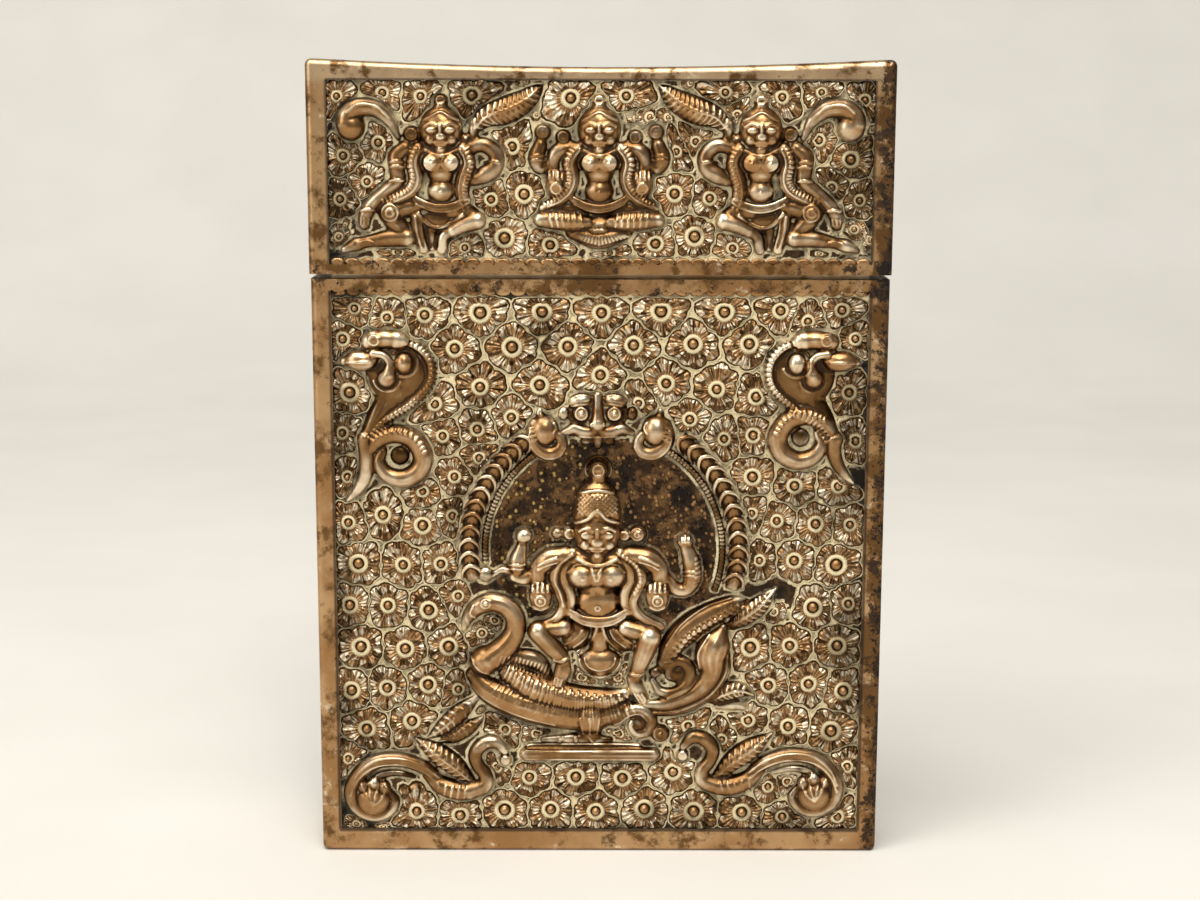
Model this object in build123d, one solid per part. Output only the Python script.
from build123d import *
import math
import os

os.makedirs("parts", exist_ok=True)

# Case. The origin is the middle of the underside, +Z is up and the front faces -Y. Millimetres.
case_height = 101.0
body_height = 74.2
body_width = 71.6
lid_overhang = 0.2
lid_width = body_width + 2 * lid_overhang
case_depth = 12.0
joint_gap = 0.6
lid_top_sag = 1.0
edge_round = 0.8

# Edge channels and the sheets they hold
channel_wall = 0.7
flange_thickness = 0.6
body_side_flange = 2.5
lid_side_flange = 2.6
bottom_flange = 3.0
top_flange = 2.6
panel_thickness = 0.6
panel_lap = 0.7

# Scalloped strips along the two mouths
body_strip_height = 1.6
lid_strip_height = 1.5
body_scallop_pitch = 1.8
lid_scallop_pitch = 2.05
scallop_depth = 0.35

# Card pocket
sleeve_side_gap = 1.7
sleeve_panel_gap = 0.9
sleeve_wall = 0.4
sleeve_rim = 3.0
mouth_plate_thickness = 0.6

# Hinge at the back of the joint
pin_radius = 0.5
pin_clearance = 0.05
barrel_radius = 1.1
barrel_clearance = 0.15
hinge_end_room = 1.3
knuckle_count = 5
knuckle_gap = 0.2

# Relief. The figures are planned on squares, which have this side at this size of case.
plan_square = 1.0
rosette_radius = 2.5
rosette_height = 0.45
rosette_boss = 0.6
rosette_boss_height = 0.75
rosette_pitch = 6.2
rosette_row = 5.4
rosette_margin = 0.35
smallest_rosette = 1.1
niche_radius = 14.2
niche_depth = 0.7
arch_rope_thickness = 0.9
arch_band_width = 2.4
arch_band_height = 1.0
arch_leaf_count = 11
medallion_radius = 14.0
medallion_rope = 1.4
medallion_dome = 0.5
contour_step = 0.5
thinnest_contour = 0.12

# Faces and edges that the sizes above give
front_face = -(case_depth / 2 - flange_thickness)
back_face = -front_face
panel_back = front_face + panel_thickness
body_half = body_width / 2
lid_half = lid_width / 2
body_window_half = body_half - body_side_flange
lid_window_half = lid_half - lid_side_flange
body_window_top = body_height - body_strip_height
lid_bottom = body_height + joint_gap
lid_window_bottom = lid_bottom + lid_strip_height
lid_window_top = case_height - top_flange
hinge_z = body_height + joint_gap / 2
hinge_y = back_face + barrel_radius + barrel_clearance
hinge_half = min(body_window_half, lid_window_half) - hinge_end_room
far = 4 * case_height


def slab(x0, x1, y0, y1, z0, z1):
    """A box between two corners."""
    middle = ((x0 + x1) / 2, (y0 + y1) / 2, (z0 + z1) / 2)
    return Pos(*middle) * Box(x1 - x0, y1 - y0, z1 - z0)


def upright_prism(outline, y0, y1):
    """A closed outline of (x, z) points, solid from y0 to y1."""
    corners = [(x, y1, z) for x, z in outline]
    face = make_face(Polyline(*corners, close=True))
    return extrude(face, y1 - y0, dir=(0, -1, 0))


# Edge channels
def sagging_block(half, depth_half, bottom, top, sag):
    """A block whose top sags in the middle, as the lid's does."""
    base = Line((-half, depth_half, bottom), (half, depth_half, bottom))
    right = Line((half, depth_half, bottom), (half, depth_half, top))
    crown = ThreePointArc((half, depth_half, top), (0, depth_half, top - sag), (-half, depth_half, top))
    left = Line((-half, depth_half, top), (-half, depth_half, bottom))
    return extrude(make_face(base + right + crown + left), 2 * depth_half, dir=(0, -1, 0))


def body_frame():
    outer = slab(-body_half, body_half, -case_depth / 2, case_depth / 2, 0, body_height)
    low_edges = outer.faces().sort_by(Axis.Z)[0].edges()
    outer = fillet(outer.edges().filter_by(Axis.Z) + low_edges, edge_round)
    inner_half = body_half - channel_wall
    hollow = slab(-inner_half, inner_half, front_face, back_face, channel_wall, far)
    window = slab(-body_window_half, body_window_half, -far, far, bottom_flange, far)
    return outer - hollow - window


def lid_frame():
    outer = sagging_block(lid_half, case_depth / 2, lid_bottom, case_height, lid_top_sag)
    high_edges = outer.edges().filter_by(lambda edge: edge.bounding_box().min.Z > lid_window_top)
    outer = fillet(outer.edges().filter_by(Axis.Z) + high_edges, edge_round)
    inner_half = lid_half - channel_wall
    hollow = sagging_block(inner_half, back_face, 0, case_height - channel_wall, lid_top_sag)
    window = slab(-lid_window_half, lid_window_half, -far, far, 0, lid_window_top)
    return outer - hollow - window


def mitred(frame, side, inner_corner, outer_corner):
    """The upright on one side of a frame and the rest of it, parted along a mitre through two corners."""
    inner_x, inner_z = inner_corner
    outer_x, outer_z = outer_corner
    slope = (outer_z - inner_z) / (outer_x - inner_x)
    middle = (0, inner_z - slope * inner_x)
    beyond = (side * far, inner_z + slope * (far - inner_x))
    away = math.copysign(far, -slope) * 2
    near_edge = (0, away)
    far_edge = (side * far, away)
    upright = upright_prism([middle, beyond, far_edge, near_edge], -far, far)
    return frame & upright, frame - upright


body_corner = [(body_window_half, bottom_flange), (body_half, 0)]
body_left_channel, rest_of_body = mitred(body_frame(), -1, *body_corner)
body_right_channel, body_bottom_channel = mitred(rest_of_body, 1, *body_corner)
lid_corner = [(lid_window_half, lid_window_top), (lid_half, case_height)]
lid_left_channel, rest_of_lid = mitred(lid_frame(), -1, *lid_corner)
lid_right_channel, lid_top_channel = mitred(rest_of_lid, 1, *lid_corner)


# Scalloped strips along the mouths, in front of the panels
def scalloped(half, edge, mouth, pitch, y0, y1):
    """A strip from the straight mouth to an edge of round scallops that bulge away from it."""
    count = round(2 * half / pitch)
    step = 2 * half / count
    bulge = math.copysign(scallop_depth, edge - mouth)
    valley = edge - bulge
    lines = Line((-half, y1, valley), (-half, y1, mouth)) + Line((-half, y1, mouth), (half, y1, mouth))
    lines += Line((half, y1, mouth), (half, y1, valley))
    for index in range(count):
        start = half - index * step
        lines += ThreePointArc((start, y1, valley), (start - step / 2, y1, edge), (start - step, y1, valley))
    return extrude(make_face(lines), y1 - y0, dir=(0, -1, 0))


front_plane = -case_depth / 2
body_front_mouth_strip = scalloped(
    body_window_half, body_window_top, body_height, body_scallop_pitch, front_plane, front_face
)
lid_front_mouth_strip = scalloped(
    lid_window_half, lid_window_bottom, lid_bottom, lid_scallop_pitch, front_plane, front_face
)


# Card sleeve and the plate round the mouth that carries it
plate_half = body_half - channel_wall
sleeve_half = plate_half - sleeve_side_gap
sleeve_depth_half = -panel_back - sleeve_panel_gap
sleeve_top = body_height + sleeve_rim
pocket_width = 2 * (sleeve_half - sleeve_wall)
pocket_depth = 2 * (sleeve_depth_half - sleeve_wall)
card_sleeve = slab(
    -sleeve_half, sleeve_half, -sleeve_depth_half, sleeve_depth_half, channel_wall, sleeve_top
) - slab(
    -pocket_width / 2, pocket_width / 2, -pocket_depth / 2, pocket_depth / 2, channel_wall + sleeve_wall, far
)
body_mouth_plate = slab(
    -plate_half, plate_half, panel_back, -panel_back, body_height - mouth_plate_thickness, body_height
) - slab(-sleeve_half, sleeve_half, -sleeve_depth_half, sleeve_depth_half, 0, far)


# Hinge: two leaves with knuckles, and a pin
def along_hinge(radius, x0, x1):
    middle = Pos((x0 + x1) / 2, hinge_y, hinge_z) * Rot(0, 90, 0)
    return middle * Cylinder(radius, x1 - x0)


def hinge_leaf(leaf, own_knuckles):
    """A leaf with every second knuckle, cut away round the knuckles of the other leaf."""
    length = 2 * hinge_half / knuckle_count
    for index in range(knuckle_count):
        start = -hinge_half + index * length
        if index % 2 == own_knuckles:
            leaf += along_hinge(barrel_radius, start + knuckle_gap / 2, start + length - knuckle_gap / 2)
        else:
            leaf -= along_hinge(
                barrel_radius + barrel_clearance, start - knuckle_gap / 2, start + length + knuckle_gap / 2
            )
    return leaf - along_hinge(pin_radius + pin_clearance, -far, far)


back_plane = case_depth / 2
body_leaf = scalloped(hinge_half, body_window_top, body_height, body_scallop_pitch, back_face, back_plane)
lid_leaf = scalloped(hinge_half, lid_window_bottom, lid_bottom, lid_scallop_pitch, back_face, back_plane)
body_hinge_leaf = hinge_leaf(body_leaf, 0)
lid_hinge_leaf = hinge_leaf(lid_leaf, 1)
hinge_pin = along_hinge(pin_radius, -hinge_half + knuckle_gap / 2, hinge_half - knuckle_gap / 2)


# Relief drawing. A field is the window of one panel, with a plan of squares stretched over it.
class Field:
    def __init__(self, squares, half, low, high, face, outward):
        self.squares_half, self.squares_low, self.squares_high = squares
        self.half = half
        self.low = low
        self.high = high
        self.face = face
        self.outward = outward
        self.across = half / self.squares_half
        self.up = (high - low) / (self.squares_high - self.squares_low)
        self.drawn = []

    def room(self, x, z):
        """How far a point is from the edge of the window and from all that is drawn."""
        nearest = min(self.half - abs(x), z - self.low, self.high - z)
        for line, radius in self.drawn:
            for start, end in zip(line, line[1:] or line):
                nearest = min(nearest, distance_to_run((x, z), start, end) - radius)
        return nearest


def distance_to_run(point, start, end):
    along = (end[0] - start[0], end[1] - start[1])
    away = (point[0] - start[0], point[1] - start[1])
    length = along[0] ** 2 + along[1] ** 2
    share = (along[0] * away[0] + along[1] * away[1]) / length if length else 0.0
    share = min(1.0, max(0.0, share))
    return math.hypot(away[0] - share * along[0], away[1] - share * along[1])


def half_width(radius, height):
    """Half the width of a round form at a height."""
    reach = radius**2 - height**2
    return math.sqrt(reach) if reach > thinnest_contour**2 else 0.0


class Drawing:
    """A group of figures about an anchor in a field, at one scale both ways.

    Each form is a function that gives its outline, as flat faces, at a height above the panel.
    """

    def __init__(self, field, x, z):
        self.field = field
        self.anchor = (x, z)
        self.scale = min(field.across, field.up)
        self.growth = self.scale / plan_square

    def at(self, x, z):
        anchor_x, anchor_z = self.anchor
        place_x = anchor_x * self.field.across + (x - anchor_x) * self.scale
        place_z = self.field.low + (anchor_z - self.field.squares_low) * self.field.up
        return Vector(place_x, self.field.face, place_z + (z - anchor_z) * self.scale)

    def note(self, places, radius):
        """Notes a line of places that a form of this half width follows."""
        self.field.drawn.append(([(place.X, place.Z) for place in places], radius))

    def rod(self, points, radius):
        """A round limb or scroll along points."""
        places = [self.at(x, z) for x, z in points]
        full = radius * self.scale
        self.note(places, full)

        def outline(height):
            half = half_width(full, height)
            if not half:
                return []
            # The joints are a little fatter than the runs, so that no edge only touches another.
            faces = [Plane.XZ * Pos(place.X, place.Z) * Circle(half * 1.02) for place in places]
            for start, end in zip(places, places[1:]):
                run = end - start
                angle = math.degrees(math.atan2(run.Z, run.X))
                middle = (start + end) / 2
                turned = Plane.XZ * Pos(middle.X, middle.Z) * Rot(0, 0, angle)
                faces.append(turned * Rectangle(run.length, 2 * half))
            return faces

        return [outline]

    def ball(self, x, z, radius, sink=0.0):
        """A boss: a sphere whose middle may lie behind the panel."""
        place = self.at(x, z)
        full = radius * self.scale
        self.note([place], full)

        def outline(height):
            half = half_width(full, height + sink * self.scale)
            return [Plane.XZ * Pos(place.X, place.Z) * Circle(half)] if half else []

        return [outline]

    def leaf(self, start, tip, width, height):
        """A pointed leaf that narrows towards its top."""
        foot = self.at(*start)
        end = self.at(*tip)
        run = end - foot
        middle = (foot + end) / 2
        bulge = width * self.scale / 2
        self.note([foot, end], bulge)
        place = Plane.XZ * Pos(middle.X, middle.Z) * Rot(0, 0, math.degrees(math.atan2(run.Z, run.X)))

        def outline(level):
            share = 1.0 - level / (height * self.scale)
            if share <= 0.0:
                return []
            reach = run.length / 2 * (0.4 + 0.6 * share)
            upper = ThreePointArc((-reach, 0), (0, bulge * share), (reach, 0))
            lower = ThreePointArc((reach, 0), (0, -bulge * share), (-reach, 0))
            return [place * make_face(upper + lower)]

        return [outline]

    def fan(self, points, height):
        """A flat piece of cloth or plumage with straight edges."""
        places = [self.at(x, z) for x, z in points]
        middle = sum(places, Vector()) / len(places)
        for place, following in zip(places, places[1:] + places[:1]):
            self.note([middle, place, following], 0.0)

        def outline(level):
            if level > height * self.scale:
                return []
            corners = [(place.X, 0, place.Z) for place in places]
            return [make_face(Polyline(*corners, close=True))]

        return [outline]

    def stacked(self, forms, root):
        """One piece out of many forms, built up in steps from a depth behind the panel's face."""
        step = contour_step * self.growth
        layers = []
        low = -root
        high = step
        while True:
            faces = [face for form in forms for face in form(high - step / 2)]
            if not faces:
                return Part() + layers
            layer = extrude(Sketch() + faces, high - low, dir=(0, -1, 0))
            layers.append(Pos(0, front_face - low, 0) * layer)
            low = high
            high += step

    def raised(self, forms):
        """A piece that stands on the flat of its panel."""
        return self.stacked(forms, 0.0)


body_squares = (33.3, 3.0, 72.6)
lid_squares = (33.4, 76.3, 98.4)
body_window = (body_window_half, bottom_flange, body_window_top)
lid_window = (lid_window_half, lid_window_bottom, lid_window_top)
body_field = Field(body_squares, *body_window, front_face, -1)
lid_field = Field(lid_squares, *lid_window, front_face, -1)
body_back_field = Field(body_squares, *body_window, back_face, 1)
lid_back_field = Field(lid_squares, *lid_window, back_face, 1)
shrine = Drawing(body_field, 0.0, 36.0)


def mirrored(points, side, shift=(0.0, 0.0)):
    return [(side * (x + shift[0]), z + shift[1]) for x, z in points]


# The niche behind the deity: the front panel is dished under the arch
niche = shrine.at(0.5, 40.0)
niche_reach = niche_radius * shrine.growth
dish_radius = (niche_reach**2 + niche_depth**2) / (2 * niche_depth)


def dish(shift):
    return Pos(niche.X, front_face + niche_depth - dish_radius + shift, niche.Z) * Sphere(dish_radius)


def body_front_sheet():
    sheet = slab(-plate_half, plate_half, front_face, panel_back, channel_wall, body_height)
    swelling = dish(panel_thickness) & slab(-far, far, panel_back, panel_back + niche_depth, 0, far)
    return sheet + swelling - dish(0)


plain_front = body_front_sheet()


def on_niche(forms):
    """A piece of the shrine that is set down on the dished panel."""
    return shrine.stacked(forms, panel_thickness) - plain_front


# Figures of the body
def deity():
    head = shrine.ball(-0.3, 42.2, 2.75, 0.3) + shrine.ball(-0.3, 46.0, 2.6, 0.4)
    head += shrine.ball(-0.2, 50.2, 1.2, 0.2)
    head += shrine.ball(3.5, 41.9, 0.9) + shrine.ball(-3.9, 41.9, 0.9)
    chest = shrine.ball(-2.0, 36.8, 1.95) + shrine.ball(1.5, 36.8, 1.95)
    chest += shrine.rod([(-0.3, 38.2), (-0.2, 30.8)], 2.1)
    left_shawl = [(-3.0, 39.0), (-5.2, 37.2), (-5.1, 35.0), (-4.4, 33.2), (-5.4, 31.3), (-7.2, 30.2)]
    right_shawl = [(2.8, 39.0), (4.7, 37.8), (4.9, 35.8), (4.1, 33.8), (5.0, 31.5), (7.4, 30.2)]
    shawls = shrine.rod(left_shawl, 0.8) + shrine.rod(right_shawl, 0.8)
    hands = shrine.rod([(-4.6, 38.0), (-7.0, 36.3), (-7.6, 33.4)], 1.15)
    hands += shrine.rod([(4.6, 38.0), (6.7, 36.3), (7.3, 33.4)], 1.15)
    rear_arms = shrine.rod([(-5.0, 38.6), (-10.4, 36.3), (-9.8, 41.4)], 0.85)
    rear_arms += shrine.rod([(5.0, 38.3), (8.6, 36.6), (10.9, 36.4), (11.3, 38.4), (10.8, 41.0)], 0.85)
    lap = shrine.ball(-3.8, 28.7, 2.1, 0.3) + shrine.ball(3.1, 28.7, 2.1, 0.3)
    lap += shrine.fan([(-3.4, 30.6), (3.0, 30.6), (3.0, 25.8), (0.0, 22.8), (-2.9, 25.8)], 1.3)
    legs = shrine.rod([(-7.7, 29.3), (-4.6, 25.2), (-5.3, 22.4)], 0.85)
    legs += shrine.rod([(6.3, 28.6), (4.8, 23.2), (5.4, 20.6)], 0.95)
    return on_niche(head + chest + shawls + hands + rear_arms + lap + legs)


def goose():
    neck_line = [(-14.8, 25.2), (-11.6, 27.0), (-11.0, 29.8), (-12.2, 32.2), (-14.8, 32.8), (-17.2, 29.6)]
    neck = shrine.rod(neck_line, 1.0) + shrine.ball(-15.0, 25.2, 1.9)
    hull = shrine.rod([(-14.6, 22.6), (-10.4, 20.2), (-4.0, 18.4), (3.2, 19.4)], 1.5)
    wing_line = [(-12.0, 25.8), (-11.8, 22.6), (-4.0, 19.6), (3.4, 20.2), (2.0, 22.4), (-5.6, 24.4)]
    wing = shrine.fan(wing_line, 1.1)
    feet = shrine.fan([(-4.2, 18.6), (1.2, 18.6), (0.2, 15.6), (2.6, 14.2), (-5.6, 14.2), (-2.6, 15.8)], 0.7)
    swirls = shrine.ball(4.6, 18.2, 1.3, 0.2) + shrine.ball(7.6, 16.4, 1.4, 0.2)
    return on_niche(neck + hull + wing + feet + swirls)


def goose_plumes():
    long_plumes = shrine.leaf((8.4, 26.0), (19.4, 33.4), 3.6, 1.2)
    long_plumes += shrine.leaf((16.2, 29.4), (22.4, 34.8), 2.4, 0.9)
    bulb = shrine.rod([(15.0, 28.2), (14.4, 25.4), (13.0, 22.4), (8.4, 19.4)], 1.3)
    curl = shrine.rod([(9.6, 25.0), (11.3, 23.2), (10.0, 20.8)], 0.8)
    spray = shrine.leaf((9.6, 18.8), (19.6, 20.6), 2.4, 0.8)
    return on_niche(long_plumes + bulb + curl + spray)


def arch_ring(inner, outer, height, first, last):
    """A half-round band round the niche between two angles, which count from +X upwards."""
    middle = (inner + outer) / 2
    crown = ThreePointArc((inner, 0), (middle, -height), (outer, 0))
    ring = revolve(make_face(crown + Line((outer, 0), (inner, 0))), Axis.Y, last - first)
    turns = [first + (last - first) * step / 24 for step in range(25)]
    shrine.note([on_arch(middle, turn) for turn in turns], (outer - inner) / 2)
    return Pos(niche.X, front_face, niche.Z) * Rot(0, -last, 0) * ring


def on_arch(radius, angle):
    turn = math.radians(angle)
    return Vector(niche.X + radius * math.cos(turn), front_face, niche.Z + radius * math.sin(turn))


arch_rope_inner = niche_reach + rosette_margin
arch_rope_outer = arch_rope_inner + arch_rope_thickness * shrine.growth
arch_band_inner = arch_rope_outer + rosette_margin
arch_band_outer = arch_band_inner + arch_band_width * shrine.growth
arch_sides = [(-15, 52), (128, 190)]


def niche_rope():
    height = (arch_rope_outer - arch_rope_inner) / 2
    right = arch_ring(arch_rope_inner, arch_rope_outer, height, -20, 58)
    left = arch_ring(arch_rope_inner, arch_rope_outer, height, 122, 186)
    return Part() + [right, left]


def niche_leaf_arch():
    """The leaf band in two halves, either side of the scrolls, notched between its leaves."""
    reach = (arch_band_inner + arch_band_outer) / 2
    height = arch_band_height * shrine.growth
    notch = Pos(reach, 0, 0) * Box(2 * (arch_band_outer - arch_band_inner), height * 0.6, height * 0.3)
    crown = Pos(niche.X, front_face - height, niche.Z)
    halves = []
    for first, last in arch_sides:
        half = arch_ring(arch_band_inner, arch_band_outer, height, first, last)
        step = (last - first) / arch_leaf_count
        for leaf in range(1, arch_leaf_count):
            half -= crown * Rot(0, -first - step * leaf, 0) * notch
        halves.append(half)
    return Part() + halves


def arch_mask():
    brow = shrine.rod([(-3.4, 58.6), (-1.7, 59.4), (-0.4, 58.2), (0.9, 59.4), (2.6, 58.6)], 0.7)
    face = shrine.ball(-2.6, 57.4, 1.15) + shrine.ball(1.8, 57.4, 1.15) + shrine.ball(-0.4, 56.9, 1.2)
    jaw = shrine.rod([(-3.4, 55.8), (-0.4, 55.2), (2.8, 55.8)], 0.75) + shrine.ball(-0.3, 54.4, 0.8)
    return shrine.raised(brow + face + jaw)


def arch_scroll(side):
    shell = mirrored([(8.4, 55.0), (6.9, 56.3), (5.3, 55.6), (4.9, 54.4)], side)
    curl = mirrored([(5.9, 53.4)], side)[0]
    return shrine.raised(shrine.rod(shell, 0.95) + shrine.ball(*curl, 1.15))


def corner_beast(side, curl_rise):
    corner = Drawing(body_field, side * body_field.squares_half, body_field.squares_high)
    mane = [(23.0, 66.4), (21.6, 64.6), (21.6, 61.8), (23.8, 59.0), (27.2, 56.6), (29.4, 54.0)]
    snout = corner.rod(mirrored([(31.3, 64.3), (28.6, 64.6), (26.4, 62.6)], side), 0.95)
    crest = corner.rod(mirrored([(27.8, 66.8), (25.2, 66.8)], side), 0.9)
    crest += corner.rod(mirrored(mane, side), 0.95)
    cheek = corner.rod(mirrored([(24.8, 63.4), (25.6, 60.4), (28.4, 57.4)], side), 1.7)
    curl = [(31.4, 46.6), (29.4, 49.4), (28.6, 52.4), (26.6, 54.4), (23.8, 54.2), (22.2, 52.2), (23.2, 49.8)]
    curl += [(25.6, 49.2), (27.0, 50.6)]
    tail = corner.rod(mirrored(curl, side, (0.0, curl_rise)), 0.8)
    eye = corner.ball(side * 25.1, 52.0 + curl_rise, 1.0)
    return corner.raised(snout + crest + cheek + tail + eye)


def corner_bird(side, shift):
    corner = Drawing(body_field, side * body_field.squares_half, body_field.squares_low)
    neck = [(12.2, 13.0), (13.6, 14.4), (15.2, 13.9), (15.9, 12.4), (15.1, 10.9), (14.6, 9.2), (15.4, 7.9)]
    head = mirrored([(12.0, 12.2)], side, shift)[0]
    tail = [(20.6, 9.4), (23.2, 11.4), (26.2, 12.0), (29.2, 11.5), (31.2, 9.4), (31.3, 6.4), (29.2, 4.9)]
    tail += [(27.2, 5.6), (26.8, 7.4)]
    body = mirrored([(15.4, 7.9), (20.6, 9.4)], side, shift)
    wing = mirrored([(17.2, 9.6), (23.6, 15.0)], side, shift)
    inner = mirrored([(29.0, 8.2)], side, shift)[0]
    forms = corner.ball(*head, 0.95) + corner.rod(mirrored(neck, side, shift), 0.8)
    forms += corner.rod(body, 1.1) + corner.rod(mirrored(tail, side, shift), 0.9)
    forms += corner.leaf(*wing, 2.6, 1.0) + corner.ball(*inner, 0.95)
    return corner.raised(forms)


def pedestal_bar():
    return shrine.raised(shrine.rod([(-9.6, 13.1), (7.0, 13.1)], 0.7))


def leaf_spray():
    upper = shrine.leaf((-22.4, 14.9), (-15.4, 20.6), 1.7, 0.9)
    lower = shrine.leaf((-20.6, 14.6), (-15.2, 17.6), 1.3, 0.7)
    return shrine.raised(upper + lower)


# Figures of the lid
lid_plan_middle = (lid_field.squares_low + lid_field.squares_high) / 2


def torso(figure, x):
    """Head, topknot, chest, waist and the two shawls that every lid figure has."""
    head = figure.ball(x, 92.4, 2.15, 0.2) + figure.ball(x, 95.6, 0.85)
    chest = figure.ball(x - 1.2, 88.6, 1.25) + figure.ball(x + 1.2, 88.6, 1.25)
    waist = figure.rod([(x, 89.4), (x - 0.1, 84.6)], 1.4)
    shawls = []
    for hand in (-1, 1):
        shawl = [(2.2, 90.2), (3.4, 88.6), (3.0, 86.4), (4.0, 84.4), (6.0, 83.0)]
        shawls += figure.rod([(x + hand * away, z) for away, z in shawl], 0.7)
    return head + chest + waist + shawls


def attendant(side):
    x = side * 19.3
    figure = Drawing(lid_field, x, lid_plan_middle)
    outer_arm = mirrored([(22.6, 90.0), (24.4, 88.4), (24.8, 86.2), (28.6, 82.2)], side)
    raised_arm = mirrored([(17.0, 89.8), (13.2, 89.6), (13.6, 86.9)], side)
    plume = mirrored([(24.8, 90.6), (26.4, 93.6), (28.6, 94.9), (30.4, 93.2)], side)
    whisk_stem = mirrored([(14.2, 90.6), (14.6, 93.8)], side)
    whisk = mirrored([(15.2, 93.4), (6.4, 97.2)], side)
    far_leg = mirrored([(30.2, 78.4), (23.6, 79.4)], side)
    near_leg = mirrored([(15.2, 81.6), (18.6, 79.6)], side)
    lap = [(16.6, 83.4), (24.8, 83.2), (23.0, 78.4), (19.4, 78.0)]
    forms = torso(figure, x) + figure.rod(outer_arm, 0.8) + figure.rod(raised_arm, 0.7)
    forms += figure.rod(plume, 0.75) + figure.rod(whisk_stem, 0.45) + figure.leaf(*whisk, 2.4, 0.9)
    forms += figure.rod(far_leg, 0.9) + figure.rod(near_leg, 0.85) + figure.fan(mirrored(lap, side), 0.9)
    forms += figure.ball(side * 25.2, 82.6, 1.35)
    return figure.raised(forms)


def seated_figure():
    x = -0.2
    figure = Drawing(lid_field, 0.0, lid_plan_middle)
    forms = torso(figure, x)
    for hand in (-1, 1):
        forms += figure.rod(mirrored([(2.6, 88.8), (6.4, 87.2), (7.1, 91.8)], hand), 0.75)
        forms += figure.ball(hand * 5.1, 85.6, 1.25)
        forms += figure.rod(mirrored([(7.0, 81.6), (2.0, 81.4)], hand), 0.9)
    skirt = [(-3.4, 83.6), (3.0, 83.6), (3.8, 79.4), (1.8, 77.8), (-2.2, 77.8), (-4.2, 79.4)]
    forms += figure.fan(skirt, 0.8)
    return figure.raised(forms)


# Rosettes of the ground, part of the panels
def rosette(field, x, z, radius):
    """A domed boss in a ring of low petals, sunk a little into its panel."""
    profile = Polyline(
        (0, -panel_thickness / 2), (radius, -panel_thickness / 2), (radius, 0),
        (radius * 0.7, rosette_height), (rosette_boss * 1.3, rosette_height * 0.4),
        (rosette_boss, rosette_boss_height * 0.6),
        (rosette_boss * 0.4, rosette_boss_height), (0, rosette_boss_height), close=True,
    )
    flower = revolve(make_face(profile), Axis.Y)
    turn = Rot(0, 0, 0) if field.outward > 0 else Rot(180, 0, 0)
    return Pos(x, field.face, z) * turn * flower


def rosettes(field):
    """Staggered rows of rosettes, each as large as the figures round it leave room for."""
    rows = max(1, round((field.high - field.low) / rosette_row))
    columns = max(1, round(2 * field.half / rosette_pitch))
    row_step = (field.high - field.low) / rows
    column_step = 2 * field.half / columns
    flowers = []
    for row in range(rows):
        z = field.low + (row + 0.5) * row_step
        for column in range(columns + row % 2):
            x = -field.half + (column + 0.5 - 0.5 * (row % 2)) * column_step
            radius = min(rosette_radius, field.room(x, z) - rosette_margin)
            if radius > smallest_rosette:
                flowers.append(rosette(field, x, z, radius))
    return flowers


def back_medallion():
    """A plain domed shield with a rope border, soldered to the middle of the back."""
    rope = medallion_rope / 2
    border = medallion_radius - rope
    profile = Line((0, 0), (medallion_radius, 0))
    profile += ThreePointArc((medallion_radius, 0), (border, rope), (border - rope, 0.1))
    profile += Line((border - rope, 0.1), (0, medallion_dome))
    profile += Line((0, medallion_dome), (0, 0))
    middle = Vector(0, back_face, (bottom_flange + body_window_top) / 2)
    body_back_field.drawn.append(([(middle.X, middle.Z)], medallion_radius))
    return Pos(middle) * revolve(make_face(profile), Axis.Y)


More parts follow.
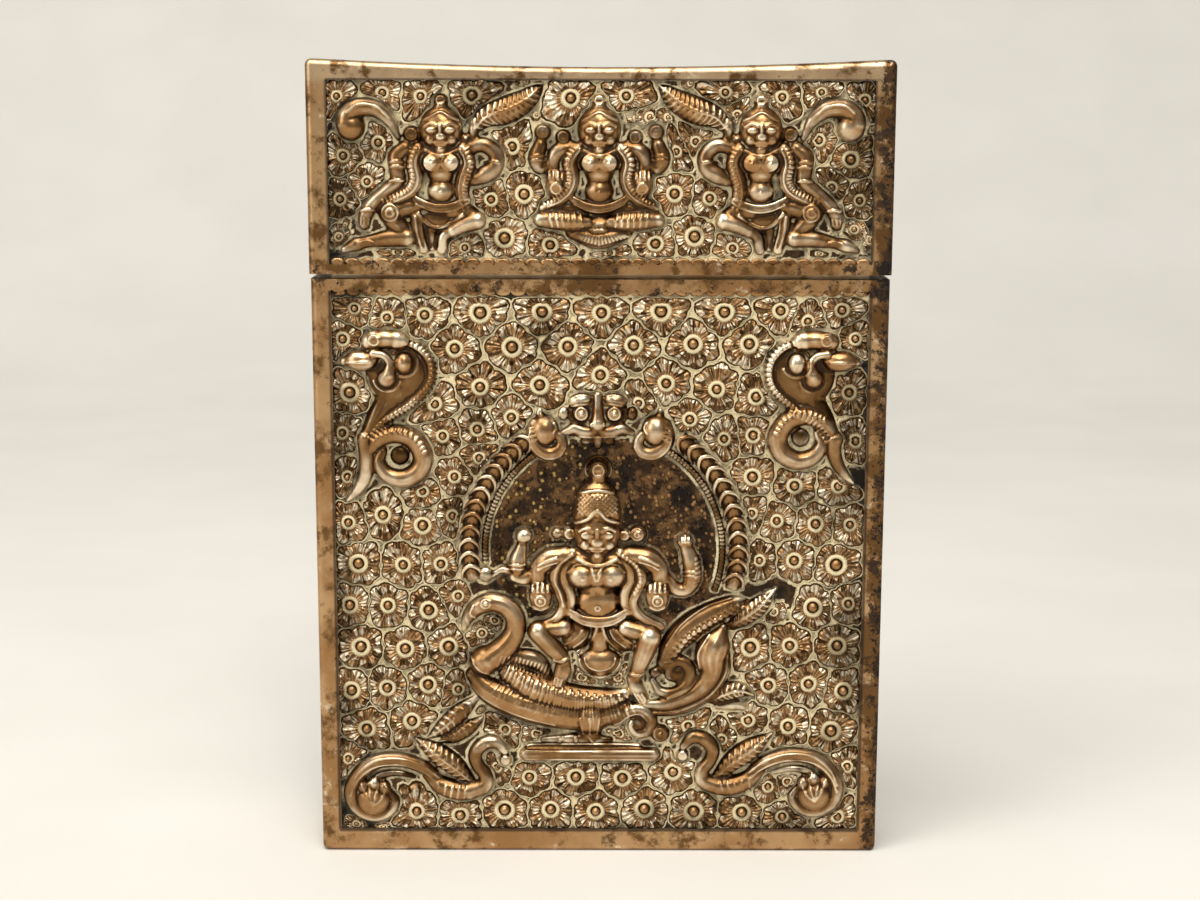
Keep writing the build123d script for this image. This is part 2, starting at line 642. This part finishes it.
seated_deity = deity()
shrine.note([niche], niche_reach)
nodes = {
    "body_left_channel": body_left_channel,
    "body_right_channel": body_right_channel,
    "body_bottom_channel": body_bottom_channel,
    "body_front_mouth_strip": body_front_mouth_strip,
    "body_mouth_plate": body_mouth_plate,
    "card_sleeve": card_sleeve,
    "body_hinge_leaf": body_hinge_leaf,
    "hinge_pin": hinge_pin,
    "lid_hinge_leaf": lid_hinge_leaf,
    "lid_left_channel": lid_left_channel,
    "lid_right_channel": lid_right_channel,
    "lid_top_channel": lid_top_channel,
    "lid_front_mouth_strip": lid_front_mouth_strip,
    "seated_deity": seated_deity,
    "goose": goose() - seated_deity,
    "goose_plumes": goose_plumes() - seated_deity,
    "niche_rope": niche_rope(),
    "niche_leaf_arch": niche_leaf_arch(),
    "arch_mask": arch_mask(),
    "arch_scroll_left": arch_scroll(-1),
    "arch_scroll_right": arch_scroll(1),
    "corner_beast_left": corner_beast(-1, 0.0),
    "corner_beast_right": corner_beast(1, 2.4),
    "corner_bird_left": corner_bird(-1, (0.0, 0.0)),
    "corner_bird_right": corner_bird(1, (-1.4, 0.7)),
    "pedestal_bar": pedestal_bar(),
    "leaf_spray": leaf_spray(),
    "back_medallion": back_medallion(),
    "attendant_left": attendant(-1),
    "attendant_right": attendant(1),
    "lid_seated_figure": seated_figure(),
}
# The panels come last, because their rosettes fill the room that the figures leave.
lid_plate_half = lid_half - channel_wall
lid_panel_top = lid_window_top + panel_lap
body_back_sheet = slab(-plate_half, plate_half, -panel_back, back_face, channel_wall, body_height)
lid_front_sheet = slab(-lid_plate_half, lid_plate_half, front_face, panel_back, lid_bottom, lid_panel_top)
lid_back_sheet = slab(-lid_plate_half, lid_plate_half, -panel_back, back_face, lid_bottom, lid_panel_top)
nodes["body_front_panel"] = plain_front + rosettes(body_field)
nodes["body_back_panel"] = body_back_sheet + rosettes(body_back_field)
nodes["lid_front_panel"] = lid_front_sheet + rosettes(lid_field)
nodes["lid_back_panel"] = lid_back_sheet + rosettes(lid_back_field)
for name, shape in nodes.items():
    export_step(shape, f"parts/{name}.step")
